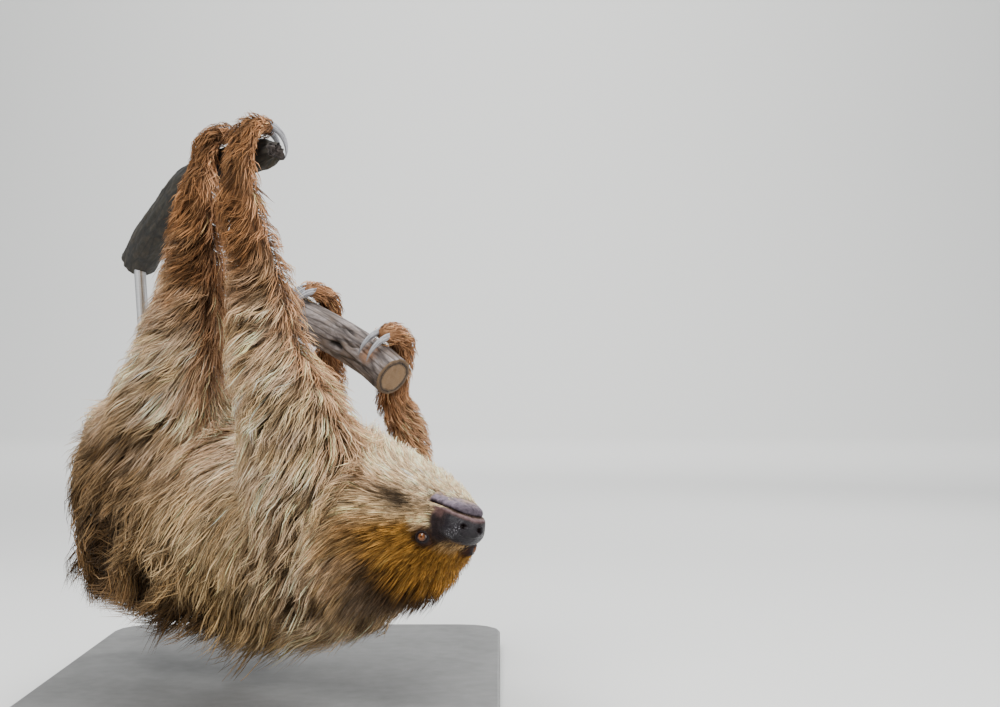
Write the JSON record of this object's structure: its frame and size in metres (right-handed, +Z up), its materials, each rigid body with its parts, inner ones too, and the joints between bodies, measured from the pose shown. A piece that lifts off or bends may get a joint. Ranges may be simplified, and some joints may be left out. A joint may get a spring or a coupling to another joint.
{
  "type": "two-toed sloth display model",
  "caption": "Life-size still model of a two-toed sloth with a shaggy coat, hanging belly up from cut branches held by rods on a flat base.",
  "frame": {"origin": "centre of the underside of the stand's base", "axes": "+Z up; the sloth's head points towards -Y and +X, its belly is up, and its left side faces -Y"},
  "size_m": [0.44, 0.606, 0.5398],
  "materials": {
    "coat_head": "golden brown hair, cream at the throat and dark brown under the crown",
    "coat_neck": "cream to tan hair",
    "coat_trunk": "long coarse tan hair in hanging locks with dark brown between them",
    "coat_upper_limb": "long tan hair, reddish brown on the inner side",
    "coat_lower_limb": "reddish brown to tan hair",
    "coat_palm": "short dense reddish brown hair",
    "nose_skin": "bare, nearly black, moist skin",
    "eye_glass": "glossy eye with an orange brown iris",
    "claw_horn": "grey horn with paler streaks",
    "bark": "grey brown cracked bark with paler sawn ends",
    "base_paint": "satin grey paint",
    "rod_steel": "brushed steel"
  },
  "bodies": {
    "root": {"abdomen": "coat_trunk", "chest": "coat_trunk", "ear_left": "coat_head", "ear_right": "coat_head", "eye_left": "eye_glass", "eye_right": "eye_glass", "foot_left": "coat_palm", "foot_left_claw_1": "claw_horn", "foot_left_claw_2": "claw_horn", "foot_left_claw_3": "claw_horn", "foot_right": "coat_palm", "foot_right_claw_1": "claw_horn", "foot_right_claw_2": "claw_horn", "foot_right_claw_3": "claw_horn", "forearm_left": "coat_lower_limb", "forearm_right": "coat_lower_limb", "hand_left": "coat_palm", "hand_left_claw_1": "claw_horn", "hand_left_claw_2": "claw_horn", "hand_right": "coat_palm", "hand_right_claw_1": "claw_horn", "hand_right_claw_2": "claw_horn", "head": "coat_head", "neck": "coat_neck", "nose": "nose_skin", "perch_lower": "bark", "perch_upper": "bark", "rump": "coat_trunk", "shin_left": "coat_lower_limb", "shin_right": "coat_lower_limb", "stand_base": "base_paint", "stand_rod_lower": "rod_steel", "stand_rod_upper": "rod_steel", "thigh_left": "coat_upper_limb", "thigh_right": "coat_upper_limb", "upper_arm_left": "coat_upper_limb", "upper_arm_right": "coat_upper_limb"}
  },
  "joints": []
}
